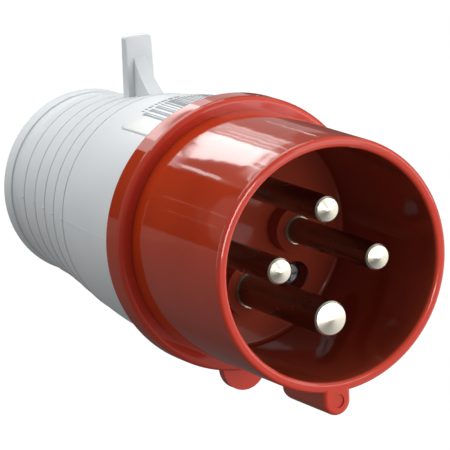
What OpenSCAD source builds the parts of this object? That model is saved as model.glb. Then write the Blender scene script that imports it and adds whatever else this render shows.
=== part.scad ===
// Industrial pin and sleeve plug, three line pins and one earth pin.
// The plug stands on its rear ring: +Z runs along its axis to the mating end, and the
// finger tab is at +Y. The key and the retaining lug are at -Y. Millimetres.

/* [Shroud] */
// Outside diameter of the shroud
shroud_d = 57.5; // [55:0.5:60]
// Wall of the shroud
shroud_wall = 2.5; // [2:0.1:3]
// Height of the shroud in front of the collar
shroud_h = 42; // [36:0.5:48]
// How far the floor lies behind the collar's front face
floor_set = 1; // [0:0.25:1.5]
// Thickness of the floor that carries the pins
floor_t = 3; // [2.6:0.1:4]
// Rounding of the rim's two edges
rim_round = 0.9; // [0.4:0.1:0.9]

/* [Collar] */
// Height of the collar along the axis
collar_h = 6.7; // [6.2:0.1:9]
// Wall of the collar outside the housing
collar_wall = 2.8; // [2.2:0.1:4]
// Rounding of the collar's front edge
collar_round = 1.3; // [0.6:0.1:2]
// How deep the collar's rear socket takes the housing and its sealing ring
socket_depth = 3.6; // [3:0.1:4]
// Radius of the round retaining lug
lug_r = 5.4; // [4.5:0.1:6.5]
// Thickness of the retaining lug
lug_t = 2.5; // [2:0.1:3]
// Distance from the collar's rear edge to the lug
lug_back = 2.2; // [1:0.1:3]

/* [Key] */
// Width of the key on the shroud
key_w = 6.7; // [5:0.1:8]
// How far the key stands out from the shroud
key_out = 5.25; // [4.5:0.05:7]
// Length of the key behind the rim
key_l = 19.3; // [14:0.1:26]
// Rounding of the key's rear corner
key_back_round = 2.6; // [1:0.1:3.5]
// Diameter of the round recess in the key's front face
key_mark_d = 3.3; // [2:0.1:4]
// Depth of that recess
key_mark_depth = 0.35; // [0.2:0.05:0.8]

/* [Pins] */
// Diameter of the circle that the pins stand on
pin_circle_d = 24.6; // [23.5:0.1:25.5]
// Diameter of a line pin
line_pin_d = 6; // [5:0.1:6.5]
// Diameter of the earth pin
earth_pin_d = 8; // [7:0.1:8.5]
// How far the pin tips lie behind the rim
pin_inset = 0.9; // [0.5:0.1:4]
// Height of the shallow cone on a pin's tip
pin_cone_h = 0.8; // [0.4:0.1:1.5]
// Width of the bevel round a pin's tip
pin_bevel = 0.4; // [0.2:0.1:0.8]
// Height of the round bosses at the pins' roots
boss_h = 4.5; // [3:0.1:7]
// Wall of a boss outside its pin
boss_wall = 2.6; // [2:0.1:3]
// Thickness of the shoulder that holds a pin behind the floor
shoulder_t = 2; // [1.5:0.1:3]
// Length of a pin's terminal barrel behind its shoulder
barrel_l = 22; // [20:0.5:26]
// Wall that a barrel has outside its pin's own radius
barrel_out = 1.2; // [1:0.1:1.5]
// Diameter of the wire hole in a barrel
wire_d = 5.2; // [4:0.1:5.4]
// Depth of the wire hole
wire_depth = 16; // [14:0.5:18]

/* [Screws] */
// Diameter of a terminal screw's shank
terminal_screw_d = 3.9; // [3:0.1:4.2]
// Spacing of the two terminal screws in a barrel
terminal_screw_pitch = 7; // [6.6:0.1:8]
// Diameter of a housing screw's shank
housing_screw_d = 3.5; // [3:0.1:4]
// Length of a housing screw's shank
housing_screw_l = 24; // [18:0.5:26]
// Distance of the housing screws from the axis
screw_circle_r = 17.8; // [17.5:0.1:18]
// Angle of the screws from the X axis
screw_angle = 40.5; // [39:0.5:46]
// Depth from the floor to the top of a housing screw's head
screw_sunk = 3.1; // [2.5:0.1:3.6]
// Diameter of a contact plate screw's shank
plate_screw_d = 2.9; // [2.5:0.1:3.2]

/* [Housing] */
// Outside diameter of the housing at the collar
housing_d = 57.8; // [57:0.1:60]
// Wall of the housing
housing_wall = 2.6; // [2:0.1:3]
// Length from the rear end to the collar
housing_l = 74.8; // [70:0.2:84]
// Length of the plain stretch behind the collar
plain_l = 29.1; // [26:0.1:31]
// Number of grip ribs, from the plain stretch to the neck
rib_count = 5; // [4:1:7]
// Step at the front of each grip rib
rib_step = 0.35; // [0.2:0.05:0.6]
// Width and depth of the fine groove at the foot of each step
rib_groove = 0.3; // [0.15:0.05:0.4]
// Outside diameter where the ribs meet the neck
grip_rear_d = 45.8; // [44.5:0.1:48]
// Diameter of the neck in front of the rear ring
neck_d = 43.6; // [42:0.1:44.2]
// Length of the neck
neck_l = 5; // [4:0.1:6]
// Outside diameter of the rear ring
ring_d = 45.3; // [44.4:0.1:47]
// Thickness of the rear ring
ring_t = 4.2; // [3:0.1:6]
// Outside diameter of the two screw pillars in the housing
pillar_d = 9.2; // [8:0.1:9.6]

/* [Finger tab] */
// Width of the finger tab
tab_w = 6.7; // [5:0.1:9]
// Height of the tab above the ribs
tab_h = 13.3; // [11:0.1:16]
// Thickness of the tab at its top
tab_tip_t = 1.8; // [1.2:0.1:2.6]
// Thickness of the tab at its foot
tab_root_t = 2.9; // [2.7:0.1:3.6]
// Thickness of the gusset in front of the tab
gusset_t = 3.5; // [2:0.1:4.5]
// How far the gusset runs along the housing
gusset_l = 6.8; // [5:0.1:9]
// Height of the gusset on the tab
gusset_h = 9.4; // [7:0.1:10.5]
// Radius of the gusset's hollow edge
gusset_r = 22; // [14:1:40]

/* [Cable entry] */
// Diameter of the cable that the seal takes
cable_d = 14; // [12:0.1:14.5]
// Diameter of the opening in the rear end
entry_d = 22; // [21:0.1:23]
// Thickness of the lip round that opening
lip_t = 2.4; // [2:0.1:3]
// Wall between the seal's pocket and a gland screw's hole
pocket_wall = 1.1; // [0.9:0.1:1.6]
// Thickness of the cable seal in its pocket
seal_t = 5.8; // [5:0.1:6.2]
// Depth of the seal's pocket
pocket_depth = 7.6; // [7.4:0.1:8]
// Thickness of the gland plate's flange
gland_t = 2.6; // [2:0.1:3.5]
// Length of the cable clamp along the axis
clamp_l = 9; // [7:0.1:12]
// Thickness of the clamp bridge's arch
clamp_wall = 2.4; // [1.8:0.1:2.6]

/* [Hidden] */
$fn = 96;
eps = 0.01; // overlap of a cut past the face that it opens
red = [0.80, 0.17, 0.11];
grey = [0.80, 0.82, 0.82];
nickel = [0.80, 0.78, 0.73];
steel = [0.70, 0.71, 0.73];
rubber = [0.10, 0.10, 0.11];
black = [0.16, 0.16, 0.17];

// Clearances
fit = 0.05; // round a pin or a screw in its hole, on the radius
slip = 0.15; // between mouldings that slide together, on the radius

// Levels along the axis, from the rear end
z_neck = ring_t;
z_ribs = ring_t + neck_l;
z_plain = housing_l - plain_l;
rib_pitch = (z_plain - z_ribs) / rib_count;
z_collar = housing_l;
z_socket = z_collar + socket_depth;
z_collar_top = z_collar + collar_h;
z_rim = z_collar_top + shroud_h;
z_floor = z_collar_top - floor_set;
z_floor_back = z_floor - floor_t;
z_shoulder_back = z_floor_back - shoulder_t;
plate_t = 4; // thickness of the contact plate
z_plate_back = z_shoulder_back - plate_t;
z_barrel_end = z_shoulder_back - barrel_l;
z_tip = z_rim - pin_inset;
z_boss = z_floor + boss_h;

// Radii of the mouldings
shroud_r = shroud_d / 2;
cup_r = shroud_r - shroud_wall;
housing_r = housing_d / 2;
bore_r = housing_r - housing_wall;
collar_r = housing_r + slip + collar_wall;
spigot_r = bore_r - slip;
spigot_wall = 2.2;
spigot_in = spigot_r - spigot_wall;
plate_r = spigot_in - slip;
cup_fillet = 0.8; // rounding where the floor meets the shroud
edge_break = 0.4; // small rounding on moulded edges
seal_ring_t = 1.4; // thickness of the sealing ring
z_housing_top = z_socket - seal_ring_t;

// Pins
pin_circle_r = pin_circle_d / 2;
PIN_ANGLES = [90, 0, 180, 270]; // line 1, line 2, line 3, earth
PIN_R = [line_pin_d / 2, line_pin_d / 2, line_pin_d / 2, earth_pin_d / 2];
seat_out = 0.3; // a pin is thicker by this inside its boss
shoulder_out = 2.2; // shoulder outside the pin's own radius
terminal_lift = 0.6; // gap under a terminal screw's head
terminal_head_r = 2.9;
terminal_head_h = 1.9;
terminal_end = 4.4; // from the barrel's end to the rear terminal screw

// Housing screws, their pillars and the contact plate's screws
housing_head_r = 3.1;
housing_head_h = 2.5;
housing_hole_r = housing_head_r + 0.3; // counterbore over the head
front_pillar_r = housing_hole_r + 1.8;
z_head_top = z_floor - screw_sunk;
z_head_seat = z_head_top - housing_head_h;
pillar_l = housing_screw_l + 3; // length of a pillar in the housing
web_t = 2.4; // web between a pillar and the wall
web_drop = 1; // how far the web ends behind the pillar
plate_screw_r = plate_screw_d / 2;
plate_head_r = 2.8;
plate_head_h = 1.5;
plate_pad_r = 3.4; // pad behind the floor that carries the plate
plate_screw_cover = 1.2; // floor left in front of a plate screw's hole
plate_screw_end = 0.5; // how far a plate screw ends before its hole does

// Cable gland
cable_r = cable_d / 2;
entry_r = entry_d / 2;
z_pocket = lip_t + pocket_depth; // ledge that carries the gland plate
z_seal_top = lip_t + seal_t;
z_flange_top = z_pocket + gland_t;
ledge_r = grip_rear_d / 2 - housing_wall;
gland_r = ledge_r - 0.7;
gland_head_r = 2.4;
gland_head_h = 1.8;
gland_screw_r = 1.3;
gland_circle_r = gland_r - gland_head_r;
seal_r = gland_circle_r - gland_screw_r - fit - pocket_wall - slip;
gland_screw_l = 8; // shank below the flange
GLAND_ANGLES = [30, 150, 270];
clamp_bore_r = cable_r + 0.2;
clamp_arch_r = clamp_bore_r + clamp_wall;
clamp_screw_r = 1.45;
clamp_head_r = 2.5;
clamp_head_h = 1.9;
clamp_screw_x = clamp_arch_r + clamp_head_r;
clamp_ear_x = clamp_screw_x + clamp_head_r + 0.4;
clamp_split = -0.6; // the clamp's halves meet at this height
clamp_ear_h = 3.4;
clamp_base_h = 8.4; // depth of the clamp's base below the split
clamp_screw_l = 10;

// Finger tab stands on the third rib from the rear
z_tab = z_ribs + 3 * rib_pitch;

// Points of an arc, in degrees from the X axis
function arc(x, y, r, from, to, n = 5) =
    [for (i = [0:n]) [x + r * cos(from + (to - from) * i / n), y + r * sin(from + (to - from) * i / n)]];

// Radius of the grip at height z: half straight taper, half smooth wave
function grip_share(z) = (z - z_ribs) / (z_plain - z_ribs);
function grip_r(z) = grip_rear_d / 2
    + (housing_r - grip_rear_d / 2) * (grip_share(z) + (1 - cos(180 * grip_share(z))) / 2) / 2;

function pin_place(i) = [pin_circle_r * cos(PIN_ANGLES[i]), pin_circle_r * sin(PIN_ANGLES[i]), 0];
function screw_place(angle) = [screw_circle_r * cos(angle), screw_circle_r * sin(angle), 0];

module cross_recess(width, depth) {
    slot = width / 5;
    translate([-width / 2, -slot / 2, -depth]) cube([width, slot, depth + eps]);
    translate([-slot / 2, -width / 2, -depth]) cube([slot, width, depth + eps]);
}

// Screw with its head above z = 0 and its shank below
module pan_screw(shank_r, shank_l, head_r, head_h) {
    round_h = head_h * 0.4;
    point = shank_r * 0.5;
    difference() {
        rotate_extrude() polygon(concat(
            [[0, -shank_l], [shank_r - point, -shank_l], [shank_r, point - shank_l], [shank_r, 0]],
            [[head_r, 0], [head_r, head_h - round_h], [head_r - round_h, head_h], [0, head_h]]));
        translate([0, 0, head_h]) cross_recess(head_r * 1.3, head_h * 0.6);
    }
}

module slotted_screw(shank_r, shank_l, head_r, head_h) {
    slot = head_r * 0.3;
    difference() {
        union() {
            translate([0, 0, -shank_l]) cylinder(r = shank_r, h = shank_l + eps);
            cylinder(r = head_r, h = head_h);
        }
        translate([-head_r - eps, -slot / 2, head_h / 2]) cube([2 * (head_r + eps), slot, head_h]);
    }
}

// --- Front shroud -------------------------------------------------------------

module shroud_turned() {
    rotate_extrude() polygon(concat(
        [[0, z_floor_back], [spigot_in, z_floor_back], [spigot_in, z_plate_back], [spigot_r, z_plate_back]],
        [[spigot_r, z_socket], [housing_r + slip, z_socket], [housing_r + slip, z_collar]],
        arc(collar_r - edge_break, z_collar + edge_break, edge_break, -90, 0, 3),
        arc(collar_r - collar_round, z_collar_top - collar_round, collar_round, 0, 90),
        [[shroud_r, z_collar_top]],
        arc(shroud_r - rim_round, z_rim - rim_round, rim_round, 0, 90),
        arc(cup_r + rim_round, z_rim - rim_round, rim_round, 90, 180),
        arc(cup_r - cup_fillet, z_floor + cup_fillet, cup_fillet, 0, -90, 4),
        [[0, z_floor]]));
}

// Key: a round-bottomed bar, flush with the rim
module shroud_key() {
    key_r = key_w / 2;
    key_y = shroud_r + key_out - key_r;
    top = z_rim - rim_round;
    difference() {
        union() {
            translate([0, -key_y, 0]) rotate_extrude() polygon(concat(
                [[0, z_rim - key_l], [key_r, z_rim - key_l]],
                arc(key_r - rim_round, top, rim_round, 0, 90),
                [[0, z_rim]]));
            translate([0, -cup_r - shroud_wall / 2, 0]) rotate([90, 0, 0])
                linear_extrude(height = key_y - cup_r - shroud_wall / 2) polygon(concat(
                    [[-key_r, z_rim - key_l], [key_r, z_rim - key_l]],
                    arc(key_r - rim_round, top, rim_round, 0, 90),
                    arc(rim_round - key_r, top, rim_round, 90, 180)));
        }
        translate([-key_w, -shroud_r - key_out, z_rim - key_l]) difference() {
            translate([0, -eps, -eps]) cube([2 * key_w, key_back_round + eps, key_back_round + eps]);
            translate([-eps, key_back_round, key_back_round]) rotate([0, 90, 0])
                cylinder(r = key_back_round, h = 2 * key_w + 2 * eps);
        }
        translate([0, -key_y, z_rim - key_mark_depth]) cylinder(r = key_mark_d / 2, h = 1);
    }
}

module shroud_lug() {
    intersection() {
        translate([0, -collar_r + edge_break, z_collar + lug_back]) cylinder(r = lug_r, h = lug_t);
        translate([-2 * lug_r, -collar_r - 2 * lug_r, z_collar])
            cube([4 * lug_r, 2 * lug_r + collar_wall / 2, collar_h]);
    }
}

module front_shroud() color(red) difference() {
    union() {
        shroud_turned();
        shroud_key();
        shroud_lug();
        for (i = [0:3]) {
            translate(pin_place(i) + [0, 0, z_floor - floor_t / 2])
                cylinder(r = PIN_R[i] + boss_wall, h = boss_h + floor_t / 2);
        }
        for (side = [0, 180]) {
            translate(screw_place(side - screw_angle) + [0, 0, z_plate_back])
                cylinder(r = front_pillar_r, h = z_floor - floor_t / 2 - z_plate_back);
            translate(screw_place(side + screw_angle) + [0, 0, z_shoulder_back])
                cylinder(r = plate_pad_r, h = z_floor - floor_t / 2 - z_shoulder_back);
        }
    }
    for (i = [0:3]) {
        translate(pin_place(i) + [0, 0, z_floor_back - 1])
            cylinder(r = PIN_R[i] + seat_out + fit, h = floor_t + boss_h + 2);
    }
    for (side = [0, 180]) {
        translate(screw_place(side - screw_angle) + [0, 0, z_head_seat]) cylinder(r = housing_hole_r, h = 20);
        translate(screw_place(side - screw_angle) + [0, 0, z_plate_back - 1])
            cylinder(r = housing_screw_d / 2 + slip, h = 10);
        translate(screw_place(side + screw_angle) + [0, 0, z_shoulder_back - 1])
            cylinder(r = plate_screw_r + fit, h = z_floor - plate_screw_cover - z_shoulder_back + 1);
    }
}

// --- Rear housing -------------------------------------------------------------

// One rib: from a fine groove at its foot to the step at its front
function rib_points(i) = let (
    low = z_ribs + i * rib_pitch,
    high = low + rib_pitch,
    mid = (low + high) / 2)
    [[grip_r(low), low], [grip_r(mid) - rib_step / 2, mid], [grip_r(high) - rib_step, high - rib_groove],
     [grip_r(high) - rib_step - rib_groove, high]];

module housing_outside() {
    neck_r = neck_d / 2;
    ring_r = ring_d / 2;
    rotate_extrude() polygon(concat(
        [[0, 0]],
        arc(ring_r - edge_break, edge_break, edge_break, -90, 0, 3),
        [[ring_r, z_neck - edge_break], [ring_r - edge_break, z_neck]],
        [[neck_r, z_neck + (ring_r - neck_r)], [neck_r, z_ribs]],
        [for (i = [0:rib_count - 1]) each rib_points(i)],
        [[housing_r - edge_break, z_plain], [housing_r, z_plain + edge_break]],
        [[housing_r, z_housing_top], [0, z_housing_top]]));
}

module housing_inside() {
    steps = 6;
    rotate_extrude() polygon(concat(
        [[0, -1], [entry_r + 1, -1], [entry_r + 1, 0], [entry_r, 1], [entry_r, lip_t]],
        [[seal_r + slip, lip_t], [seal_r + slip, z_pocket], [ledge_r, z_pocket]],
        [for (i = [0:steps]) let (z = z_pocket + (z_plain - z_pocket) * i / steps)
            [min(grip_r(z), housing_r) - housing_wall, z + (i == 0 ? eps : 0)]],
        [[bore_r, z_housing_top + 1], [0, z_housing_top + 1]]));
}

// Plate across the axis, thicker at its foot, with round top corners
module finger_tab() {
    foot = grip_r(z_tab) - housing_wall / 2;
    top = grip_r(z_tab) + tab_h;
    corner = 1;
    intersection() {
        translate([-tab_w / 2, 0, 0]) rotate([90, 0, 90]) linear_extrude(height = tab_w) polygon([
            [foot, z_tab - tab_root_t], [foot, z_tab], [grip_r(z_tab), z_tab],
            [top - edge_break, z_tab - tab_root_t + tab_tip_t],
            [top, z_tab - tab_root_t + tab_tip_t - edge_break],
            [top, z_tab - tab_root_t + edge_break], [top - edge_break, z_tab - tab_root_t]]);
        translate([0, 0, z_tab - tab_root_t - 1]) linear_extrude(height = tab_root_t + 2) polygon(concat(
            [[-tab_w / 2, 0], [tab_w / 2, 0]],
            arc(tab_w / 2 - corner, top - corner, corner, 0, 90),
            arc(corner - tab_w / 2, top - corner, corner, 90, 180)));
    }
}

// Gusset in front of the tab, hollowed by an arc from its toe to its head
module tab_gusset() {
    base = grip_r(z_tab);
    half_chord = sqrt(gusset_l * gusset_l + gusset_h * gusset_h) / 2;
    reach = sqrt(gusset_r * gusset_r - half_chord * half_chord) / (2 * half_chord);
    translate([-gusset_t / 2, 0, 0]) rotate([90, 0, 90]) linear_extrude(height = gusset_t) difference() {
        polygon([[base - housing_wall / 2, z_tab - 1], [base - housing_wall / 2, z_tab + gusset_l],
            [base, z_tab + gusset_l], [base + gusset_h, z_tab], [base + gusset_h, z_tab - 1]]);
        translate([base + gusset_h / 2 + reach * gusset_l, z_tab + gusset_l / 2 + reach * gusset_h])
            circle(r = gusset_r);
        translate([base + gusset_h - 1, z_tab - 1]) square([2, 0.9]);
    }
}

// Screw pillars stand on webs inside the wall
module housing_pillar(angle) {
    bottom = z_plate_back - pillar_l;
    translate(screw_place(angle) + [0, 0, bottom]) cylinder(r = pillar_d / 2, h = pillar_l);
    rotate(angle) translate([screw_circle_r, -web_t / 2, bottom])
        cube([bore_r + housing_wall / 2 - screw_circle_r, web_t, pillar_l - web_drop]);
}

module rear_housing() color(grey) difference() {
    union() {
        difference() {
            housing_outside();
            housing_inside();
        }
        finger_tab();
        tab_gusset();
        for (side = [0, 180]) {
            housing_pillar(side - screw_angle);
        }
    }
    for (side = [0, 180]) {
        translate(screw_place(side - screw_angle) + [0, 0, z_plate_back - housing_screw_l])
            cylinder(r = housing_screw_d / 2 + fit, h = housing_screw_l + 1);
    }
    for (angle = GLAND_ANGLES) {
        rotate(angle) translate([gland_circle_r, 0, z_pocket - gland_screw_l + 1])
            cylinder(r = gland_screw_r + fit, h = gland_screw_l);
    }
}

// --- Pins and their terminals ---------------------------------------------------

function terminal_z(row) = z_barrel_end + terminal_end + row * terminal_screw_pitch;

module contact_pin(i) {
    r = PIN_R[i];
    barrel_r = r + barrel_out;
    color(nickel) translate(pin_place(i)) difference() {
        rotate_extrude() polygon([
            [0, z_barrel_end], [barrel_r - edge_break, z_barrel_end], [barrel_r, z_barrel_end + edge_break],
            [barrel_r, z_shoulder_back], [r + shoulder_out, z_shoulder_back],
            [r + shoulder_out, z_floor_back],
            [r + seat_out, z_floor_back], [r + seat_out, z_boss], [r, z_boss],
            [r, z_tip - pin_cone_h - pin_bevel], [r - pin_bevel, z_tip - pin_cone_h], [0, z_tip]]);
        translate([0, 0, z_barrel_end - 1]) cylinder(r = wire_d / 2, h = wire_depth + 1);
        for (row = [0, 1]) {
            translate([0, 0, terminal_z(row)]) rotate([0, 90, PIN_ANGLES[i]])
                cylinder(r = terminal_screw_d / 2 + fit, h = barrel_r + 1);
        }
    }
}

module terminal_screw(i, row) {
    out = PIN_R[i] + barrel_out + terminal_lift;
    inner_end = wire_d / 2 - 1;
    color(steel) translate(pin_place(i) + [0, 0, terminal_z(row)]) rotate([0, 90, PIN_ANGLES[i]])
        translate([0, 0, out])
            slotted_screw(terminal_screw_d / 2, out - inner_end, terminal_head_r, terminal_head_h);
}

// --- Contact plate and the long screws ------------------------------------------

module contact_plate() color(black) difference() {
    translate([0, 0, z_plate_back]) cylinder(r = plate_r, h = plate_t);
    for (i = [0:3]) {
        translate(pin_place(i) + [0, 0, z_plate_back - 1])
            cylinder(r = PIN_R[i] + barrel_out + slip, h = plate_t + 2);
    }
    for (side = [0, 180]) {
        translate(screw_place(side - screw_angle) + [0, 0, z_plate_back - 1])
            cylinder(r = front_pillar_r + slip, h = plate_t + 2);
        translate(screw_place(side + screw_angle) + [0, 0, z_plate_back - 1])
            cylinder(r = plate_screw_r + slip, h = plate_t + 2);
    }
}

// Pan head on the plate's rear face, shank forward into the pad
module plate_screw(angle) color(steel)
    translate(screw_place(angle) + [0, 0, z_plate_back]) rotate([180, 0, 0])
        pan_screw(plate_screw_r, z_floor - plate_screw_cover - plate_screw_end - z_plate_back,
            plate_head_r, plate_head_h);

module housing_screw(angle) color(steel)
    translate(screw_place(angle) + [0, 0, z_head_seat])
        pan_screw(housing_screw_d / 2, z_head_seat - z_plate_back + housing_screw_l - 1,
            housing_head_r, housing_head_h);

module sealing_ring() color(rubber) translate([0, 0, z_housing_top]) difference() {
    cylinder(r = housing_r, h = seal_ring_t);
    translate([0, 0, -1]) cylinder(r = bore_r, h = seal_ring_t + 2);
}

// --- Cable gland ------------------------------------------------------------------

// Rubber seal: a flange in the pocket and a stepped nose in the opening
module cable_seal() color(rubber) rotate_extrude() polygon([
    [cable_r, 0], [(cable_r + entry_r) / 2, 0], [(cable_r + entry_r) / 2, lip_t / 3],
    [entry_r - slip, lip_t / 3], [entry_r - slip, lip_t], [seal_r, lip_t], [seal_r, z_seal_top],
    [cable_r, z_seal_top]]);

module gland_plate() color(black) difference() {
    union() {
        translate([0, 0, z_seal_top]) cylinder(r = seal_r - slip, h = z_flange_top - z_seal_top);
        translate([0, 0, z_pocket]) cylinder(r = gland_r, h = gland_t);
        translate([-clamp_ear_x, clamp_split - clamp_base_h, z_flange_top - eps])
            cube([2 * clamp_ear_x, clamp_base_h, clamp_l + eps]);
    }
    translate([0, 0, z_seal_top - 1]) cylinder(r = clamp_bore_r, h = z_flange_top + clamp_l);
    for (angle = GLAND_ANGLES) {
        rotate(angle) translate([gland_circle_r, 0, z_pocket - 1])
            cylinder(r = gland_screw_r + slip, h = gland_t + 2);
    }
    for (side = [-1, 1]) {
        translate([side * clamp_screw_x, clamp_split + 1, z_flange_top + clamp_l / 2]) rotate([90, 0, 0])
            cylinder(r = clamp_screw_r + fit, h = clamp_screw_l - clamp_ear_h + 1.5);
    }
}

module gland_screw(angle) color(steel) rotate(angle)
    translate([gland_circle_r, 0, z_flange_top])
        pan_screw(gland_screw_r, gland_screw_l + gland_t - 1.5, gland_head_r, gland_head_h);

// Arch over the cable with an ear for each screw
module clamp_bridge() color(black) difference() {
    translate([0, 0, z_flange_top + slip]) intersection() {
        union() {
            cylinder(r = clamp_arch_r, h = clamp_l - 2 * slip);
            translate([-clamp_ear_x, clamp_split, 0])
                cube([2 * clamp_ear_x, clamp_ear_h, clamp_l - 2 * slip]);
        }
        translate([-clamp_ear_x, clamp_split, 0]) cube([2 * clamp_ear_x, 2 * clamp_arch_r, clamp_l]);
    }
    translate([0, 0, z_flange_top - 1]) cylinder(r = clamp_bore_r, h = clamp_l + 2);
    for (side = [-1, 1]) {
        translate([side * clamp_screw_x, clamp_split + clamp_ear_h + 1, z_flange_top + clamp_l / 2])
            rotate([90, 0, 0]) cylinder(r = clamp_screw_r + slip, h = clamp_ear_h + 2);
    }
}

module clamp_screw(side) color(steel)
    translate([side * clamp_screw_x, clamp_split + clamp_ear_h, z_flange_top + clamp_l / 2])
        rotate([-90, 0, 0]) pan_screw(clamp_screw_r, clamp_screw_l, clamp_head_r, clamp_head_h);

front_shroud();
rear_housing();
contact_pin(0);  // line_pin_1
contact_pin(1);  // line_pin_2
contact_pin(2);  // line_pin_3
contact_pin(3);  // earth_pin
contact_plate();
plate_screw(screw_angle);  // plate_screw_1
plate_screw(180 + screw_angle);  // plate_screw_2
housing_screw(-screw_angle);  // housing_screw_1
housing_screw(180 - screw_angle);  // housing_screw_2
terminal_screw(0, 1);  // terminal_screw_1_front
terminal_screw(0, 0);  // terminal_screw_1_rear
terminal_screw(1, 1);  // terminal_screw_2_front
terminal_screw(1, 0);  // terminal_screw_2_rear
terminal_screw(2, 1);  // terminal_screw_3_front
terminal_screw(2, 0);  // terminal_screw_3_rear
terminal_screw(3, 1);  // terminal_screw_earth_front
terminal_screw(3, 0);  // terminal_screw_earth_rear
sealing_ring();
cable_seal();
gland_plate();
gland_screw(GLAND_ANGLES[0]);  // gland_screw_1
gland_screw(GLAND_ANGLES[1]);  // gland_screw_2
gland_screw(GLAND_ANGLES[2]);  // gland_screw_3
clamp_bridge();
clamp_screw(-1);  // clamp_screw_1
clamp_screw(1);  // clamp_screw_2
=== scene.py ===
"""Industrial pin and sleeve plug: finishes, label, mould marks, studio and camera. Metres."""

import math

import bmesh
import bpy
from mathutils import Matrix, Vector


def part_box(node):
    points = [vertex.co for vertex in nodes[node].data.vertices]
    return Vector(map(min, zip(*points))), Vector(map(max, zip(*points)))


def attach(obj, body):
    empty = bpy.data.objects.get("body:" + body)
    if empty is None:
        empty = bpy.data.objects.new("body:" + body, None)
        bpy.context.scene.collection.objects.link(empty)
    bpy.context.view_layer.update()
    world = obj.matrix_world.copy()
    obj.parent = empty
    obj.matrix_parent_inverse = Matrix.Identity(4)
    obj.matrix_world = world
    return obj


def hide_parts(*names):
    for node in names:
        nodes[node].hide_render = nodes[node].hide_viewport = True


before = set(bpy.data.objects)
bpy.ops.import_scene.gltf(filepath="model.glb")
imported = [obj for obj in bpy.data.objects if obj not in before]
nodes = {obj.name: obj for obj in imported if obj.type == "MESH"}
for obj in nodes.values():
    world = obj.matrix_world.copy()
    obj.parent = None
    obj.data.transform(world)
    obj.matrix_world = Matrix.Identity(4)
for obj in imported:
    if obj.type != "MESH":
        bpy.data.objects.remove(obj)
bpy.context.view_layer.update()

MM = 0.001
housing_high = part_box("rear_housing")[1]

# --- Driving sizes, from the frame where it holds them -------------------------------

HOUSING_R = housing_high.x  # plain cylinder of the housing
HOUSING_TOP = housing_high.z
COLLAR_BACK = 74.8 * MM  # rear face of the collar
PLAIN_FROM = 60.0 * MM  # where the taper ends and the plain cylinder begins
RIBS_FROM = 9.2 * MM  # where the neck ends and the grip begins
RIB_FIRST = 12.8 * MM  # front edge of the rearmost rib
RIB_PITCH = 7.4 * MM
RIB_COUNT = 5
RIBS_TO = RIB_FIRST + (RIB_COUNT - 1) * RIB_PITCH
RIB_STEP = 0.18 * MM
RIB_EDGE = 0.12 * MM  # bevel on a rib's front edge
RING_R = 22.5 * MM  # ring at the rear end
RING_T = 4.2 * MM
NECK_R = 21.8 * MM  # between the ring and the grip
GRIP_REAR_R = 22.9 * MM
TAPER_SHARE = 0.3  # of the grip's rise that is straight, the rest is a wave
EDGE = 0.4 * MM  # rounding of moulded edges
SHROUD_R = 28.75 * MM
CUP_R = 26.4 * MM  # just outside the shroud's inner wall


def grip_radius(z):
    """Radius that the ribs' front edges touch: a smooth wave, partly straightened."""
    share = min(1.0, max(0.0, (z - RIBS_FROM) / (PLAIN_FROM - RIBS_FROM)))
    wave = (1 - math.cos(math.pi * share)) / 2
    return GRIP_REAR_R + (HOUSING_R - GRIP_REAR_R) * (TAPER_SHARE * share + (1 - TAPER_SHARE) * wave)


# --- Small helpers ------------------------------------------------------------------


def linear(hex_colour):
    """sRGB hex to a linear RGBA tuple."""
    channels = [int(hex_colour[i : i + 2], 16) / 255 for i in (1, 3, 5)]
    return tuple(c / 12.92 if c <= 0.04045 else ((c + 0.055) / 1.055) ** 2.4 for c in channels) + (1.0,)


def add_node(tree, kind, links=None, **settings):
    """Adds a node. Settings name a property or an input; links give an input's source socket."""
    node = tree.nodes.new(kind)
    for key, value in settings.items():
        if hasattr(node, key):
            setattr(node, key, value)
        else:
            node.inputs[key.replace("_", " ")].default_value = value
    for key, source in (links or {}).items():
        tree.links.new(source, node.inputs[key])
    return node


def new_material(name):
    """An empty node material and its Principled shader."""
    material = bpy.data.materials.new(name)
    material.use_nodes = True
    tree = material.node_tree
    return material, tree, tree.nodes["Principled BSDF"]


def set_shader(shader, **values):
    """Sets constants on the shader's own sockets."""
    for key, value in values.items():
        shader.inputs[key.replace("_", " ")].default_value = value


def add_piece(name, data):
    """A new object in the scene, at the origin."""
    piece = bpy.data.objects.new(name, data)
    bpy.context.scene.collection.objects.link(piece)
    return piece


def mesh_from(name, shape):
    """Ends a bmesh as a named mesh."""
    mesh = bpy.data.meshes.new(name)
    shape.to_mesh(mesh)
    shape.free()
    return mesh


def plain_mesh(piece):
    """Turns what the piece's modifiers make into its own mesh."""
    bpy.context.view_layer.update()
    ready = piece.evaluated_get(bpy.context.evaluated_depsgraph_get())
    mesh = bpy.data.meshes.new_from_object(ready)
    piece.modifiers.clear()
    piece.data = mesh


# --- Finishes -----------------------------------------------------------------------


def mottled(tree, place, size, detail, tones, spread=(0.0, 1.0)):
    """Colour that wanders between two tones, in clouds of one size."""
    clouds = add_node(tree, "ShaderNodeTexNoise", {"Vector": place}, Scale=1 / size, Detail=detail)
    tint = add_node(tree, "ShaderNodeValToRGB", {"Fac": clouds.outputs["Fac"]})
    for stop, position, tone in zip(tint.color_ramp.elements, spread, tones):
        stop.position = position
        stop.color = linear(tone)
    return tint.outputs["Color"]


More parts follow.
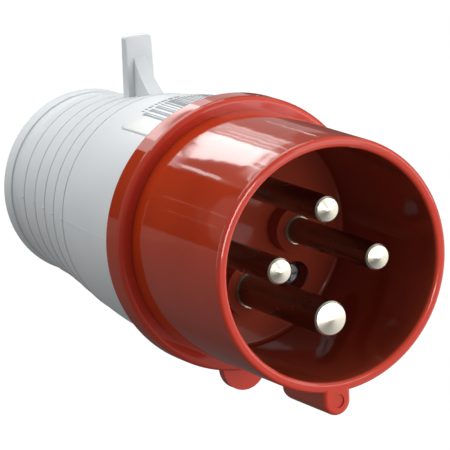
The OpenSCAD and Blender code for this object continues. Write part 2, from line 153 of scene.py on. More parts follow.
def patchy_sheen(tree, shader, place, size, detail, low, high):
    """Roughness that wanders between two values, in patches of one size. Gives the patches."""
    patches = add_node(tree, "ShaderNodeTexNoise", {"Vector": place}, Scale=1 / size, Detail=detail)
    rough = add_node(tree, "ShaderNodeMapRange", {"Value": patches.outputs["Fac"]}, To_Min=low, To_Max=high)
    tree.links.new(rough.outputs["Result"], shader.inputs["Roughness"])
    return patches.outputs["Fac"]


def turned_forward(tree, start, full):
    """From 0 to 1 as a face turns towards +Z."""
    normal = add_node(tree, "ShaderNodeTexCoord").outputs["Normal"]
    forward = add_node(tree, "ShaderNodeSeparateXYZ", {"Vector": normal}).outputs["Z"]
    return add_node(tree, "ShaderNodeMapRange", {"Value": forward}, From_Min=start, From_Max=full).outputs[0]


def gloss_red_polyamide():
    """Polyamide 6, moulded in a polished tool: sharp reflections that a slight ripple of the surface bends,
    over a deep red. Faces that turn forwards outside the cup are painted lighter as painted light, and the
    cup's inside is painted greyer as a painted reflection."""
    material, tree, shader = new_material("gloss_red_polyamide")
    place = add_node(tree, "ShaderNodeTexCoord").outputs["Object"]
    # flow clouds about 14 mm across, drawn stronger than the real ones so that they show
    clouds = mottled(tree, place, 14 * MM, 3.0, ("#A63010", "#B03514"), (0.3, 0.7))
    flat = add_node(tree, "ShaderNodeVectorMath", {0: place}, operation="MULTIPLY")
    flat.inputs[1].default_value = (1, 1, 0)
    from_axis = add_node(tree, "ShaderNodeVectorMath", {0: flat.outputs[0]}, operation="LENGTH")
    outside = add_node(tree, "ShaderNodeMath", {0: from_axis.outputs["Value"]}, operation="GREATER_THAN")
    outside.inputs[1].default_value = CUP_R
    # painted reflection: inside the cup the red is painted greyer, for grey light mirrored on its dim walls
    # and floor
    skin = add_node(tree, "ShaderNodeMix", {"Factor": outside.outputs[0], 7: clouds}, data_type="RGBA")
    skin.inputs[6].default_value = linear("#A5412B")
    # painted light: faces that turn forwards, outside the cup, are painted a lighter red, as if lit more
    # strongly from the front
    painted_light_faces = {0: turned_forward(tree, 0.3, 0.9), 1: outside.outputs[0]}
    edge = add_node(tree, "ShaderNodeMath", painted_light_faces, operation="MULTIPLY")
    layers = {"Factor": edge.outputs[0], 6: skin.outputs[2]}
    colour = add_node(tree, "ShaderNodeMix", layers, data_type="RGBA")
    colour.inputs[7].default_value = linear("#D8402C")
    tree.links.new(colour.outputs[2], shader.inputs["Base Color"])
    # sink and ripple of the wall: long waves of about 9 mm
    ripple = add_node(tree, "ShaderNodeTexNoise", {"Vector": place}, Scale=1 / (9 * MM), Detail=1.0)
    waves = {"Height": ripple.outputs["Fac"]}
    bump = add_node(tree, "ShaderNodeBump", waves, Strength=0.25, Distance=0.25 * MM)
    tree.links.new(bump.outputs["Normal"], shader.inputs["Normal"])
    set_shader(shader, Roughness=0.07, IOR=1.53)
    return material


def satin_grey_polyamide():
    """Polyamide 6, moulded in a finely eroded tool: a soft even sheen with no clear reflection,
    and a grain that shows only close up."""
    material, tree, shader = new_material("satin_grey_polyamide")
    place = add_node(tree, "ShaderNodeTexCoord").outputs["Object"]
    clouds = mottled(tree, place, 18 * MM, 3.0, ("#D7DBDD", "#DDE1E3"), (0.3, 0.7))
    tree.links.new(clouds, shader.inputs["Base Color"])
    # eroded grain, really 0.05 mm, drawn at 0.35 mm so that it shows
    grain = add_node(tree, "ShaderNodeTexNoise", {"Vector": place}, Scale=1 / (0.35 * MM), Detail=2.0)
    pits = {"Height": grain.outputs["Fac"]}
    bump = add_node(tree, "ShaderNodeBump", pits, Strength=0.2, Distance=0.03 * MM)
    tree.links.new(bump.outputs["Normal"], shader.inputs["Normal"])
    set_shader(shader, Roughness=0.5, IOR=1.53)
    return material


def turned_nickel(name, centre):
    """Brass bar, turned on a lathe and nickel plated: warm pale metal, whose fine rings round
    the pin's axis spread each highlight into two wedges on the tip."""
    material, tree, shader = new_material(name)
    place = add_node(tree, "ShaderNodeTexCoord").outputs["Object"]
    from_axis = add_node(tree, "ShaderNodeMapping", {"Vector": place}, Location=(-centre.x, -centre.y, 0))
    # the tool marks run round the axis
    outwards = {0: from_axis.outputs["Vector"]}
    around = add_node(tree, "ShaderNodeVectorMath", outwards, operation="CROSS_PRODUCT")
    around.inputs[1].default_value = (0, 0, 1)
    tree.links.new(around.outputs["Vector"], shader.inputs["Tangent"])
    patchy_sheen(tree, shader, place, 2.5 * MM, 3.0, 0.24, 0.34)
    # painted reflection: the sides are painted dark, for the dark shroud that they mirror, and the tip is
    # bright
    colour = add_node(tree, "ShaderNodeMix", {"Factor": turned_forward(tree, 0.1, 0.45)}, data_type="RGBA")
    colour.inputs[6].default_value = linear("#827D70")
    colour.inputs[7].default_value = linear("#DDD6C6")
    tree.links.new(colour.outputs[2], shader.inputs["Base Color"])
    set_shader(shader, Metallic=1.0, Anisotropic=0.7)
    return material


def zinc_plated_steel():
    """Cold-formed steel with a bright zinc plating: cool grey metal, dulled in patches."""
    material, tree, shader = new_material("zinc_plated_steel")
    place = add_node(tree, "ShaderNodeTexCoord").outputs["Object"]
    patchy_sheen(tree, shader, place, 1.5 * MM, 4.0, 0.25, 0.5)
    set_shader(shader, Base_Color=linear("#C3C5C9"), Metallic=1.0)
    return material


def black_polyamide():
    """Glass-filled polyamide as moulded: near black, with a dull sheen from the fibres."""
    material, tree, shader = new_material("black_polyamide")
    place = add_node(tree, "ShaderNodeTexCoord").outputs["Object"]
    fibres = patchy_sheen(tree, shader, place, 0.6 * MM, 3.0, 0.45, 0.65)
    bump = add_node(tree, "ShaderNodeBump", {"Height": fibres}, Strength=0.3, Distance=0.03 * MM)
    tree.links.new(bump.outputs["Normal"], shader.inputs["Normal"])
    set_shader(shader, Base_Color=linear("#2B2B2D"), IOR=1.55)
    return material


def black_rubber():
    """Chloroprene rubber, pressed in a steel tool: matte black with a faint grey bloom."""
    material, tree, shader = new_material("black_rubber")
    place = add_node(tree, "ShaderNodeTexCoord").outputs["Object"]
    bloom = mottled(tree, place, 3 * MM, 4.0, ("#1A1A1B", "#2A2A2B"))
    tree.links.new(bloom, shader.inputs["Base Color"])
    set_shader(shader, Roughness=0.75, IOR=1.52)
    return material


def label_paper():
    """Coated paper sticker: bright white with a faint gloss."""
    material, tree, shader = new_material("label_paper")
    place = add_node(tree, "ShaderNodeTexCoord").outputs["Object"]
    fibres = mottled(tree, place, 0.8 * MM, 2.0, ("#DCDFDE", "#E6E8E6"))
    tree.links.new(fibres, shader.inputs["Base Color"])
    set_shader(shader, Roughness=0.35, IOR=1.5)
    return material


def label_ink():
    """Thermal print: blue-grey ink, a little uneven."""
    material, tree, shader = new_material("label_ink")
    place = add_node(tree, "ShaderNodeTexCoord").outputs["Object"]
    fading = mottled(tree, place, 4 * MM, 2.0, ("#6C7480", "#8E96A2"))
    tree.links.new(fading, shader.inputs["Base Color"])
    set_shader(shader, Roughness=0.4, IOR=1.5)
    return material


red = gloss_red_polyamide()
grey = satin_grey_polyamide()
black = black_polyamide()
rubber = black_rubber()
zinc = zinc_plated_steel()
paper = label_paper()
ink = label_ink()

NODE_FINISH = {
    "front_shroud": red,
    "rear_housing": grey,
    "contact_plate": black,
    "gland_plate": black,
    "clamp_bridge": black,
    "sealing_ring": rubber,
    "cable_seal": rubber,
}


def finish_nodes():
    """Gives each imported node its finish: a pin has its own, centred on its axis."""
    for name, node in nodes.items():
        if "screw" in name:
            finish = zinc
        elif "pin" in name:
            low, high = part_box(name)
            finish = turned_nickel("turned_nickel_" + name, (low + high) / 2)
        else:
            finish = NODE_FINISH[name]
        node.data.materials.clear()
        node.data.materials.append(finish)


finish_nodes()

# --- Rear housing ---------------------------------------------------------------------
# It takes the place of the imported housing, whose ribs, tab and gusset differ a little. The
# packed one still collides.

WALL = 2.6 * MM
LIP_T = 2.4 * MM  # rear wall in front of the seal
ENTRY_R = 11.0 * MM
POCKET_TOP = 10.0 * MM  # ledge that carries the pressure ring
SLIP = 0.15 * MM  # round the cable seal
PILLAR_R = 4.6 * MM
PILLAR_L = 27 * MM
PILLAR_TOP = 71.5 * MM
PILLAR_FLOOR = 2 * MM  # solid end behind the hole
PILLAR_HOLE_R = 1.8 * MM
WEB_T = 2.4 * MM
WEB_SHORT = 1 * MM  # how far the web ends behind the pillar's top
GLAND_HOLE_R = 1.35 * MM
GLAND_HOLE_FROM = 3.6 * MM
OVERCUT = 1 * MM  # so that a cut leaves no skin
SHARP_ABOVE = 28  # degrees between faces
TAB_FRONT = 32.2 * MM  # foot of the tab's front face
TAB_W = 7.0 * MM
TAB_H = 14.2 * MM
TAB_ROOT_T = 3.2 * MM
TAB_TIP_T = 2.3 * MM
TAB_CORNER = 1.0 * MM
TAB_SUNK = 0.6  # of the wall's thickness
GUSSET_L = 7.8 * MM
GUSSET_H = 9.1 * MM
GUSSET_FOOT_T = 3.9 * MM
GUSSET_HEAD_T = 3.2 * MM
GUSSET_ARC_R = 23 * MM


def rib_outline(index):
    """One rib, from its foot to its front edge, which steps down to the next foot."""
    front = RIB_FIRST + index * RIB_PITCH
    foot = RIBS_FROM if index == 0 else front - RIB_PITCH
    middle = (foot + front) / 2
    return [
        (grip_radius(foot) - RIB_STEP, foot),
        (grip_radius(middle) - RIB_STEP / 2, middle),
        (grip_radius(front), front - RIB_EDGE),
        (grip_radius(front) - RIB_EDGE, front),
    ]


def shoulder_outline(steps=24):
    """The smooth shoulder from the foremost step to the plain cylinder."""
    points = []
    for i in range(steps + 1):
        share = i / steps
        z = RIBS_TO + (PLAIN_FROM - RIBS_TO) * share
        points.append((grip_radius(z) - RIB_STEP * (1 - share), z))
    return points


def arc_points(centre, radius, start, end, steps=5):
    """Points on an arc, angles in degrees."""
    turns = [math.radians(start + (end - start) * i / steps) for i in range(steps + 1)]
    return [(centre[0] + radius * math.cos(t), centre[1] + radius * math.sin(t)) for t in turns]


def housing_outline():
    """Closed outline of the turned part of the housing, as radius and height."""
    seal_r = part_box("cable_seal")[1].x + SLIP
    outside = arc_points((RING_R - EDGE, EDGE), EDGE, -90, 0)
    outside += arc_points((RING_R - EDGE, RING_T - EDGE), EDGE, 0, 90)
    outside += [(NECK_R, RING_T + RING_R - NECK_R), (NECK_R, RIBS_FROM)]
    for index in range(RIB_COUNT):
        outside += rib_outline(index)
    outside += shoulder_outline() + [(HOUSING_R, COLLAR_BACK), (HOUSING_R, HOUSING_TOP)]
    steps = 12
    heights = [PLAIN_FROM + (POCKET_TOP - PLAIN_FROM) * i / steps for i in range(steps + 1)]
    inside = [(HOUSING_R - WALL, HOUSING_TOP)] + [(grip_radius(z) - WALL, z) for z in heights]
    inside += [(seal_r, POCKET_TOP), (seal_r, LIP_T), (ENTRY_R, LIP_T), (ENTRY_R, EDGE)]
    return outside + inside + [(ENTRY_R + EDGE, 0)]


def turned(name, outline, steps=240):
    """A piece turned about Z from a closed outline that runs up the outside and down the inside."""
    shape = bmesh.new()
    rings = []
    for i in range(steps):
        angle = 2 * math.pi * i / steps
        rings.append([shape.verts.new((r * math.cos(angle), r * math.sin(angle), z)) for r, z in outline])
    for ring, after in zip(rings, rings[1:] + rings[:1]):
        for j in range(len(outline)):
            k = (j + 1) % len(outline)
            shape.faces.new((ring[j], after[j], after[k], ring[k]))
    return add_piece(name, mesh_from(name, shape))


def walled(name, first, second, bevel):
    """A solid between two loops of points that match one to one, with rounded edges."""
    shape = bmesh.new()
    loops = [[shape.verts.new(point) for point in loop] for loop in (first, second)]
    count = len(first)
    for i in range(count):
        j = (i + 1) % count
        shape.faces.new((loops[0][i], loops[0][j], loops[1][j], loops[1][i]))
    shape.faces.new(loops[0][::-1])
    shape.faces.new(loops[1])
    bmesh.ops.recalc_face_normals(shape, faces=shape.faces)
    piece = add_piece(name, mesh_from(name, shape))
    if bevel:
        round_edges = piece.modifiers.new("round_edges", "BEVEL")
        round_edges.width = bevel
        round_edges.segments = 3
        round_edges.limit_method = "ANGLE"
    return piece


def finger_tab():
    """Plate across the axis, thicker at its foot, with round top corners."""
    base = grip_radius(TAB_FRONT)
    foot = base - WALL * TAB_SUNK
    top = base + TAB_H
    across = TAB_W / 2 - TAB_CORNER
    outline = [(-TAB_W / 2, foot), (TAB_W / 2, foot)]
    outline += arc_points((across, top - TAB_CORNER), TAB_CORNER, 0, 90)
    outline += arc_points((-across, top - TAB_CORNER), TAB_CORNER, 90, 180)
    back = TAB_FRONT - TAB_ROOT_T
    slope = (TAB_ROOT_T - TAB_TIP_T) / TAB_H
    rear_face = [(x, y, back) for x, y in outline]
    front_face = [(x, y, TAB_FRONT - slope * (y - base)) for x, y in outline]
    return walled("finger_tab", rear_face, front_face, EDGE)


def tab_gusset():
    """Gusset in front of the tab: an arc hollows it, and it narrows towards its head."""
    base = grip_radius(TAB_FRONT)
    toe = Vector((grip_radius(TAB_FRONT + GUSSET_L), TAB_FRONT + GUSSET_L))
    head = Vector((base + GUSSET_H, TAB_FRONT - (TAB_ROOT_T - TAB_TIP_T) * GUSSET_H / TAB_H))
    chord = head - toe
    away = Vector((-chord.y, chord.x)).normalized()
    if away.x < 0:
        away = -away
    centre = (toe + head) / 2 + away * math.sqrt(GUSSET_ARC_R**2 - chord.length_squared / 4)
    start = math.degrees(math.atan2(*(toe - centre).yx))
    end = math.degrees(math.atan2(*(head - centre).yx))
    if end - start > 180:
        end -= 360
    if start - end > 180:
        end += 360
    foot = base - WALL / 2
    inside = TAB_FRONT - TAB_ROOT_T / 2
    side = [(foot, toe.y)] + arc_points(centre, GUSSET_ARC_R, start, end, 12)
    side += [(head.x, inside), (foot, inside)]

    def half_width(y):
        share = (y - base) / (head.x - base)
        return (GUSSET_FOOT_T + (GUSSET_HEAD_T - GUSSET_FOOT_T) * share) / 2

    left = [(-half_width(y), y, z) for y, z in side]
    right = [(half_width(y), y, z) for y, z in side]
    return walled("tab_gusset", left, right, EDGE / 2)


def round_bar(name, x, y, radius, low, high):
    """A bar along Z, with plain ends."""
    shape = bmesh.new()
    place = Matrix.Translation((x, y, (low + high) / 2))
    ends = {"radius1": radius, "radius2": radius, "cap_ends": True}
    bmesh.ops.create_cone(shape, segments=48, depth=high - low, matrix=place, **ends)
    return add_piece(name, mesh_from(name, shape))


def screw_hole(screw, radius, low, high):
    """A bar that takes a screw's hole out of the housing."""
    corner_low, corner_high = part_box(screw)
    middle = (corner_low + corner_high) / 2
    return round_bar("hole_for_" + screw, middle.x, middle.y, radius, low, high)


def pillar_with_web(screw):
    """The pillar that a housing screw enters, and the web that holds it to the wall."""
    low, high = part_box(screw)
    middle = (low + high) / 2
    reach = math.hypot(middle.x, middle.y)
    bottom = PILLAR_TOP - PILLAR_L
    out = Vector((middle.x, middle.y, 0)) / reach
    side = Vector((-out.y, out.x, 0)) * WEB_T / 2
    heights = (bottom, PILLAR_TOP - WEB_SHORT)
    near = [out * reach + Vector((0, 0, z)) for z in heights]
    far = [out * (grip_radius(z) - WALL / 2) + Vector((0, 0, z)) for z in heights]
    loop = [near[0], far[0], far[1], near[1]]
    web = walled("web_" + screw, [p - side for p in loop], [p + side for p in loop], 0)
    bar = round_bar("pillar_" + screw, middle.x, middle.y, PILLAR_R, bottom, PILLAR_TOP)
    return [bar, web]


def cut_and_join(piece, joined, removed):
    """Joins and removes helper pieces, and keeps one plain mesh."""
    for helper, operation in [(h, "UNION") for h in joined] + [(h, "DIFFERENCE") for h in removed]:
        step = piece.modifiers.new(helper.name, "BOOLEAN")
        step.object = helper
        step.operation = operation
        step.solver = "EXACT"
    plain_mesh(piece)
    for helper in joined + removed:
        bpy.data.objects.remove(helper)
    piece.data.shade_smooth()
    piece.data.set_sharp_from_angle(angle=math.radians(SHARP_ABOVE))


def housing_moulding():
    """The whole rear housing, with its tab, gusset, screw pillars and holes."""
    piece = turned("housing_moulding", housing_outline())
    joined = [finger_tab(), tab_gusset()]
    removed = []
    for screw in ("housing_screw_1", "housing_screw_2"):
        joined += pillar_with_web(screw)
        bottom = PILLAR_TOP - PILLAR_L + PILLAR_FLOOR
        removed.append(screw_hole(screw, PILLAR_HOLE_R, bottom, HOUSING_TOP))
    for screw in ("gland_screw_1", "gland_screw_2", "gland_screw_3"):
        removed.append(screw_hole(screw, GLAND_HOLE_R, GLAND_HOLE_FROM, POCKET_TOP + OVERCUT))
    cut_and_join(piece, joined, removed)
    piece.data.materials.append(grey)
    return piece


housing = housing_moulding()
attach(housing, "root")
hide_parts("rear_housing")

# --- Label on the housing -----------------------------------------------------------

LABEL_FROM = 54.6 * MM  # rear edge of the sticker
LABEL_TO = COLLAR_BACK - 0.1 * MM
LABEL_LOW = 127.4  # degrees from +X, lower edge
LABEL_HIGH = 64.0
LABEL_CORNER = 2.2 * MM
LABEL_CROWD = 1.6  # rows of faces crowd towards the round corners
LABEL_GAP = 0.02 * MM  # between the housing and the sticker
LABEL_T = 0.06 * MM


def label_sticker():
    """Sheet wrapped on the plain stretch, with two round corners at its rear edge."""
    rows, columns = 40, 48
    shape = bmesh.new()
    grid = []
    for i in range(rows + 1):
        z = LABEL_FROM + (LABEL_TO - LABEL_FROM) * (i / rows) ** LABEL_CROWD
        into_corner = max(0.0, LABEL_CORNER - (z - LABEL_FROM))
        cut = LABEL_CORNER - math.sqrt(max(0.0, LABEL_CORNER**2 - into_corner**2))
        radius = grip_radius(z) + LABEL_GAP + LABEL_T
        inset = math.degrees(cut / radius)
        span = LABEL_LOW - LABEL_HIGH - 2 * inset
        row = []
        for j in range(columns + 1):
            angle = math.radians(LABEL_HIGH + inset + span * j / columns)
            row.append(shape.verts.new((radius * math.cos(angle), radius * math.sin(angle), z)))
        grid.append(row)
    for low, high in zip(grid, grid[1:]):
        for j in range(columns):
            shape.faces.new((low[j], low[j + 1], high[j + 1], high[j]))
    mesh = mesh_from("label_sticker", shape)
    mesh.shade_smooth()
    mesh.materials.append(paper)
    piece = add_piece("label_sticker", mesh)
    solid = piece.modifiers.new("sheet", "SOLIDIFY")
    solid.thickness = LABEL_T
    solid.offset = -1
    return piece


sticker = label_sticker()
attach(sticker, "root")


INK_T = 0.05 * MM
BAR_SHAKE = 0.22  # of a step, how far a bar may lie from its even place
BAR_ROW_INPUTS = [
    ("Count", "Int"),
    ("First Angle", "Float"),
    ("Step", "Float"),
    ("Thin", "Float"),
    ("Wide", "Float"),
    ("Length", "Float"),
    ("Middle Height", "Float"),
    ("Radius", "Float"),
    ("Seed", "Int"),
    ("Ink", "Material"),
]


def add_inputs(tree, sockets):
    """Names a tree's inputs and its one output."""
    for name, kind in sockets:
        tree.interface.new_socket(name, in_out="INPUT", socket_type="NodeSocket" + kind)
    tree.interface.new_socket("Mesh", in_out="OUTPUT", socket_type="NodeSocketGeometry")
    return add_node(tree, "NodeGroupInput").outputs


def grow(piece, tree, sizes):
    """Runs a tree on a piece, with its inputs given by name, and keeps the mesh it makes."""
    modifier = piece.modifiers.new(tree.name, "NODES")
    modifier.node_group = tree
    for item in tree.interface.items_tree:
        if item.in_out == "INPUT" and item.name in sizes:
            modifier[item.identifier] = sizes[item.name]
    plain_mesh(piece)


def bar_row_tree():
    """Upright bars in a row round the axis, of random width, as a printer lays them."""
    tree = bpy.data.node_groups.new("bar_row", "GeometryNodeTree")
    given = add_inputs(tree, BAR_ROW_INPUTS)
    index = add_node(tree, "GeometryNodeInputIndex").outputs[0]
    shake = add_node(tree, "FunctionNodeRandomValue", {7: index, 8: given["Seed"]}, data_type="FLOAT")
    shake.inputs[2].default_value = -BAR_SHAKE
    shake.inputs[3].default_value = BAR_SHAKE
    count = add_node(tree, "ShaderNodeMath", {0: index, 1: shake.outputs[1]}, operation="ADD")
    along = {0: count.outputs[0], 1: given["Step"], 2: given["First Angle"]}
    angle = add_node(tree, "ShaderNodeMath", along, operation="MULTIPLY_ADD").outputs[0]
    start = add_node(tree, "ShaderNodeCombineXYZ", {"X": given["Radius"], "Z": given["Middle Height"]})
    around = {"Vector": start.outputs[0], "Angle": angle}
    place = add_node(tree, "ShaderNodeVectorRotate", around, rotation_type="Z_AXIS")
    points = add_node(tree, "GeometryNodePoints", {"Count": given["Count"], "Position": place.outputs[0]})
    widths = {2: given["Thin"], 3: given["Wide"], 7: index, 8: given["Seed"]}
    width = add_node(tree, "FunctionNodeRandomValue", widths, data_type="FLOAT")
    size = add_node(tree, "ShaderNodeCombineXYZ", {"Y": width.outputs[1], "Z": given["Length"]}, X=INK_T)
    turn = add_node(tree, "ShaderNodeCombineXYZ", {"Z": angle})
    bar = add_node(tree, "GeometryNodeMeshCube")
    each = {"Points": points.outputs[0], "Instance": bar.outputs[0]}
    each.update({"Rotation": turn.outputs[0], "Scale": size.outputs[0]})
    copies = add_node(tree, "GeometryNodeInstanceOnPoints", each)
    real = add_node(tree, "GeometryNodeRealizeInstances", {"Geometry": copies.outputs[0]})
    inked = {"Geometry": real.outputs[0], "Material": given["Ink"]}
    dressed = add_node(tree, "GeometryNodeSetMaterial", inked)
    add_node(tree, "NodeGroupOutput", {"Mesh": dressed.outputs[0]})
    return tree


def printed_row(name, tree, count, first, step, widths, heights, seed):
    """A row of printed bars on the sticker. Angles in degrees, from the low edge upwards."""
    middle = (heights[0] + heights[1]) / 2
    sizes = {
        "Count": count,
        "First Angle": math.radians(first),
        "Step": math.radians(-step),
        "Thin": widths[0],
        "Wide": widths[1],
        "Length": heights[1] - heights[0],
        "Middle Height": middle,
        "Radius": grip_radius(middle) + LABEL_GAP + LABEL_T + INK_T / 4,
        "Seed": seed,
        "Ink": ink,
    }
    piece = add_piece(name, bpy.data.meshes.new(name))
    grow(piece, tree, sizes)
    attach(piece, "root")


bar_row = bar_row_tree()
BAR_WIDTHS = (0.18 * MM, 0.75 * MM)
BAR_HEIGHTS = (58.2 * MM, LABEL_TO - 0.3 * MM)
MARK_WIDTHS = (0.3 * MM, 0.6 * MM)
MARK_HEIGHTS = (55.6 * MM, 57.2 * MM)
printed_row("printed_bars", bar_row, 28, 116.2, 1.72, BAR_WIDTHS, BAR_HEIGHTS, seed=4)
printed_row("printed_marks", bar_row, 12, 114.0, 1.75, MARK_WIDTHS, MARK_HEIGHTS, seed=2)

# --- Mould marks on the housing -------------------------------------------------------

PARTING = (178.5, -1.5)  # degrees, where the two halves of the mould met
SEAM_W = 0.16 * MM
SEAM_H = 0.03 * MM
SEAM_FROM = RIBS_TO + 2 * MM
FLASH_R = 0.33 * MM
FLASH_SIZES = (0.6, 1.1)  # least and most, times FLASH_R
FLASH_BACK = 0.9 * MM  # behind a rib's front edge
FLASH_SUNK = 0.12 * MM
FLASH_ASIDE = 0.6  # degrees from the parting line


def seam_line(name, angle):
    """Fine raised line where the mould's halves met, along the plain stretch."""
    steps = 30
    turn = math.radians(angle)
    out = Vector((math.cos(turn), math.sin(turn), 0))
    side = Vector((-out.y, out.x, 0)) * SEAM_W / 2
    shape = bmesh.new()
    rows = []
    for i in range(steps + 1):
        z = SEAM_FROM + (COLLAR_BACK - SEAM_FROM) * i / steps
        base = out * (grip_radius(z) - SEAM_H) + Vector((0, 0, z))
        top = out * (grip_radius(z) + SEAM_H) + Vector((0, 0, z))
        rows.append([shape.verts.new(base - side), shape.verts.new(top), shape.verts.new(base + side)])
    for row, after in zip(rows, rows[1:]):
        for j in range(3):
            k = (j + 1) % 3
            shape.faces.new((row[j], row[k], after[k], after[j]))
    shape.faces.new(rows[0][::-1])
    shape.faces.new(rows[-1])
    bmesh.ops.recalc_face_normals(shape, faces=shape.faces)
    mesh = mesh_from(name, shape)
    mesh.materials.append(grey)
    piece = add_piece(name, mesh)
    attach(piece, "root")


for number, angle in enumerate(PARTING, 1):
    seam_line(f"parting_line_{number}", angle)


def flash_tree():
    """Small uneven beads of flash, one on each point."""
    tree = bpy.data.node_groups.new("flash_beads", "GeometryNodeTree")
    sockets = [("Points", "Geometry"), ("Radius", "Float"), ("Seed", "Int"), ("Finish", "Material")]
    given = add_inputs(tree, sockets)
    index = add_node(tree, "GeometryNodeInputIndex").outputs[0]
    chance = add_node(tree, "FunctionNodeRandomValue", {7: index, 8: given["Seed"]}, data_type="FLOAT")
    chance.inputs[2].default_value, chance.inputs[3].default_value = FLASH_SIZES
    ball = add_node(tree, "GeometryNodeMeshIcoSphere", {"Radius": given["Radius"]}, Subdivisions=2)
    each = {"Points": given["Points"], "Instance": ball.outputs[0], "Scale": chance.outputs[1]}
    copies = add_node(tree, "GeometryNodeInstanceOnPoints", each)
    real = add_node(tree, "GeometryNodeRealizeInstances", {"Geometry": copies.outputs[0]})
    smooth = add_node(tree, "GeometryNodeSetShadeSmooth", {"Geometry": real.outputs[0]})
    finish = {"Geometry": smooth.outputs[0], "Material": given["Finish"]}
    dressed = add_node(tree, "GeometryNodeSetMaterial", finish)
    add_node(tree, "NodeGroupOutput", {"Mesh": dressed.outputs[0]})
    return tree


def flash_beads():
    """Flash left where a rib's front edge crosses the parting line."""
    places = []
    for angle in PARTING:
        turn = math.radians(angle + FLASH_ASIDE)
        for i in range(RIB_COUNT):
            z = RIB_FIRST + i * RIB_PITCH - FLASH_BACK
            radius = grip_radius(z) - FLASH_SUNK
            places.append((radius * math.cos(turn), radius * math.sin(turn), z))
    mesh = bpy.data.meshes.new("flash_beads")
    mesh.from_pydata(places, [], [])
    piece = add_piece("flash_beads", mesh)
    grow(piece, flash_tree(), {"Radius": FLASH_R, "Seed": 3, "Finish": grey})
    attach(piece, "root")


flash_beads()

# --- Studio -------------------------------------------------------------------------

LOOK = Vector((0.44908, -0.20144, -0.87048)).normalized()  # the way the camera looks
TABLE_HALF = 3.0  # metres
DOME_R = 3.5


def lit_material(name, strength):
    """Plain white light, the same from every side."""
    material, _, shader = new_material(name)
    set_shader(shader, Base_Color=linear("#000000"), Roughness=0.9)
    set_shader(shader, Emission_Color=linear("#FFFFFF"), Emission_Strength=strength)
    return material


def stage_piece(name, mesh, glow, **seen_by):
    """A lit part of the studio. seen_by names the kinds of ray that miss it."""
    mesh.materials.append(glow)
    piece = add_piece(name, mesh)
    for ray, seen in seen_by.items():
        setattr(piece, "visible_" + ray, seen)


def sheet_mesh(name, corners):
    """One flat face with four corners."""
    mesh = bpy.data.meshes.new(name)
    mesh.from_pydata([tuple(c) for c in corners], [], [(0, 1, 2, 3)])
    return mesh


def light_table():
    """The floor, pale and evenly lit. It gives no light and no shadow to the plug."""
    near, far = -TABLE_HALF, TABLE_HALF
    mesh = sheet_mesh("floor", [(near, near, 0), (far, near, 0), (far, far, 0), (near, far, 0)])
    glow = lit_material("white_light_table", 1.0)
    stage_piece("floor", mesh, glow, diffuse=False, glossy=False, shadow=False)


def backdrop():
    """A pale dome behind all views."""
    shape = bmesh.new()
    bmesh.ops.create_uvsphere(shape, u_segments=48, v_segments=24, radius=DOME_R)
    mesh = mesh_from("backdrop", shape)
    glow = lit_material("pale_backdrop", 1.0)
    stage_piece("backdrop", mesh, glow, diffuse=False, glossy=False, shadow=False)


def reflected_at(angle, height):
    """Where a ray along LOOK, reflected by the shroud's side there, meets the floor."""
    normal = Vector((math.cos(math.radians(angle)), math.sin(math.radians(angle)), 0))
    ray = LOOK - 2 * LOOK.dot(normal) * normal
    start = normal * SHROUD_R + Vector((0, 0, height))
    return start - ray * (height / ray.z)


def reflection_card(name, angles, heights, strength, slant=0):
    """A lit card that only reflections show, on the shroud's side between two angles, in
    degrees, and two heights, in millimetres. Its low edge may reach some degrees further."""
    low, high = heights[0] * MM, heights[1] * MM
    near, far = angles
    corners = [reflected_at(near, low), reflected_at(far + slant, low)]
    corners += [reflected_at(far, high), reflected_at(near, high)]
    glow = lit_material(name, strength)
    stage_piece(name, sheet_mesh(name, corners), glow, camera=False, diffuse=False, shadow=False)


def reflection_cards():
    """What the glossy shroud and collar mirror: a softbox with soft edges and creases, the pale
    ceiling beside it, the dark room below it and the table."""
    shroud = (87, 122.6)  # below this the shroud mirrors the collar, which mirrors the floor
    collar = (64, 87)
    whole = (60, 130)
    reflection_card("softbox_main", (113, 122), shroud, 6.0)
    reflection_card("softbox_edge", (122, 124.5), (88, 120.5), 6.0, slant=6.0)
    reflection_card("softbox_foot", (124, 132), (121, 123.4), 5.0)
    reflection_card("softbox_streak", (134.5, 136), (88, 109), 4.0)
    reflection_card("ceiling_bright", (103, 113), shroud, 1.5)
    reflection_card("ceiling_grey", (84, 103), shroud, 0.4)
    reflection_card("streak_1", (104, 104.5), (90, 121), 3.0)
    reflection_card("streak_2", (106, 106.6), (87, 116), 3.0)
    reflection_card("streak_3", (108.2, 109.2), (92, 122), 3.5)
    reflection_card("streak_4", (110.8, 111.6), (88, 119), 4.0)
    reflection_card("streak_5", (91.2, 92), (96, 123), 2.0)
    reflection_card("streak_6", (151, 151.4), (90, 123), 1.0)
    reflection_card("streak_7", (156.8, 157.2), (92, 118), 0.8)
    reflection_card("collar_ceiling", (84, 101), collar, 0.6)
    reflection_card("collar_upper", (101, 107), collar, 1.5)
    reflection_card("collar_softbox", (107, 131), collar, 3.8)
    reflection_card("collar_edge", (131, 137), collar, 1.8)
    reflection_card("room_dark", (137, 167), whole, 0.03)
    reflection_card("table_grey", (167, 240), whole, 0.26)


light_table()
backdrop()
reflection_cards()

BODY_MIDDLE = Vector((0, 0, 0.08))


def softbox(name, place, size, energy):
    """A rectangular light that faces the middle of the plug. Metres and watts."""
    lamp = bpy.data.lights.new(name, "AREA")
    lamp.shape = "RECTANGLE"
    lamp.size, lamp.size_y = size
    lamp.energy = energy
    light = add_piece(name, lamp)
    light.location = place
    light.rotation_euler = (BODY_MIDDLE - Vector(place)).to_track_quat("-Z", "Y").to_euler()


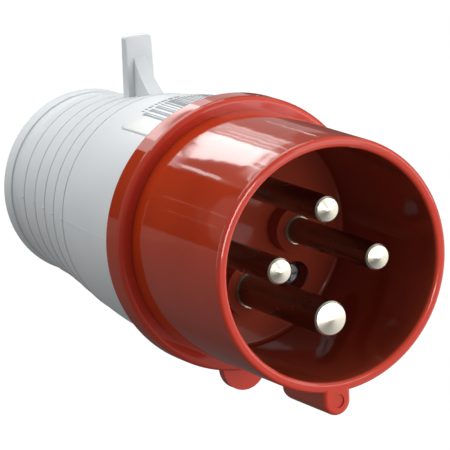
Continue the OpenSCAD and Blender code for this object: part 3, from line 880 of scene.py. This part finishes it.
softbox("top_softbox", (-0.15, 0.9, 0.02), (0.9, 0.4), 3.7)
softbox("top_back_softbox", (-0.1, 0.75, -0.4), (0.9, 0.5), 3.7)
softbox("left_softbox", (-0.9, 0.0, 0.2), (0.5, 0.5), 0.24)
softbox("left_back_softbox", (-0.8, 0.1, -0.3), (0.5, 0.5), 1.0)
softbox("front_softbox", (0.5, 0.15, 0.75), (0.5, 0.5), 1.5)
softbox("axial_softbox", (0.1, 0.0, 1.1), (0.3, 0.3), 2.5)
softbox("axial_sheet", (0.0, 0.0, 1.2), (1.2, 1.2), 0.16)
softbox("right_softbox", (0.8, -0.3, 0.45), (0.5, 0.5), 0.22)

# strengths along y and x, where a minus turns the side round, and the even part
FILL_BELOW = (0.31, -0.26, 0.09)
FILL_ABOVE = (0.21, 1.11, 0.12)


def studio_world():
    """Soft fill: the lower half comes from +Y and -X, and the upper half mostly from +X."""
    world = bpy.data.worlds.new("studio")
    world.use_nodes = True
    bpy.context.scene.world = world
    tree = world.node_tree
    place = add_node(tree, "ShaderNodeTexCoord").outputs["Generated"]
    x, y, z = add_node(tree, "ShaderNodeSeparateXYZ", {"Vector": place}).outputs
    lower = add_node(tree, "ShaderNodeMath", {0: z}, operation="LESS_THAN").outputs[0]
    lower.node.inputs[1].default_value = 0
    upper = add_node(tree, "ShaderNodeMath", {1: lower}, operation="SUBTRACT").outputs[0]
    upper.node.inputs[0].default_value = 1

    def lobe(source, strength):
        scaled = add_node(tree, "ShaderNodeMath", {0: source}, operation="MULTIPLY")
        scaled.inputs[1].default_value = strength
        cut = add_node(tree, "ShaderNodeMath", {0: scaled.outputs[0]}, operation="MAXIMUM")
        cut.inputs[1].default_value = 0
        return cut.outputs[0]

    def both(a, b):
        return add_node(tree, "ShaderNodeMath", {0: a, 1: b}, operation="ADD").outputs[0]

    def fill(half, strengths):
        along_y, along_x, even = strengths
        return both(lobe(y, along_y), both(lobe(x, along_x), lobe(half, even)))

    below = fill(lower, FILL_BELOW)
    above = fill(upper, FILL_ABOVE)
    mix = add_node(tree, "ShaderNodeMix", {"Factor": lower, "A": above, "B": below})
    background = tree.nodes["Background"]
    background.inputs["Color"].default_value = (1, 1, 1, 1)
    tree.links.new(mix.outputs[0], background.inputs["Strength"])


studio_world()

# --- Camera -------------------------------------------------------------------------

AIM = Vector((-11.4, 5.8, 94.4)) * MM
DISTANCE = 1.0  # metres from AIM
UP = Vector((0.12539, 0.97881, -0.16183)).normalized()
LENS = 357  # mm
SENSOR = 36  # mm
VIEW_END = 20  # metres, past the dome


def add_camera():
    """A long lens at DISTANCE from AIM, turned along LOOK with UP upwards."""
    lens = bpy.data.cameras.new("camera")
    lens.lens = LENS
    lens.sensor_width = SENSOR
    lens.clip_end = VIEW_END
    camera = add_piece("camera", lens)
    right = LOOK.cross(UP).normalized()
    turn = Matrix((right, right.cross(LOOK), -LOOK)).transposed().to_4x4()
    camera.matrix_world = Matrix.Translation(AIM - LOOK * DISTANCE) @ turn
    bpy.context.scene.camera = camera


add_camera()
bpy.context.scene.view_settings.view_transform = "Standard"
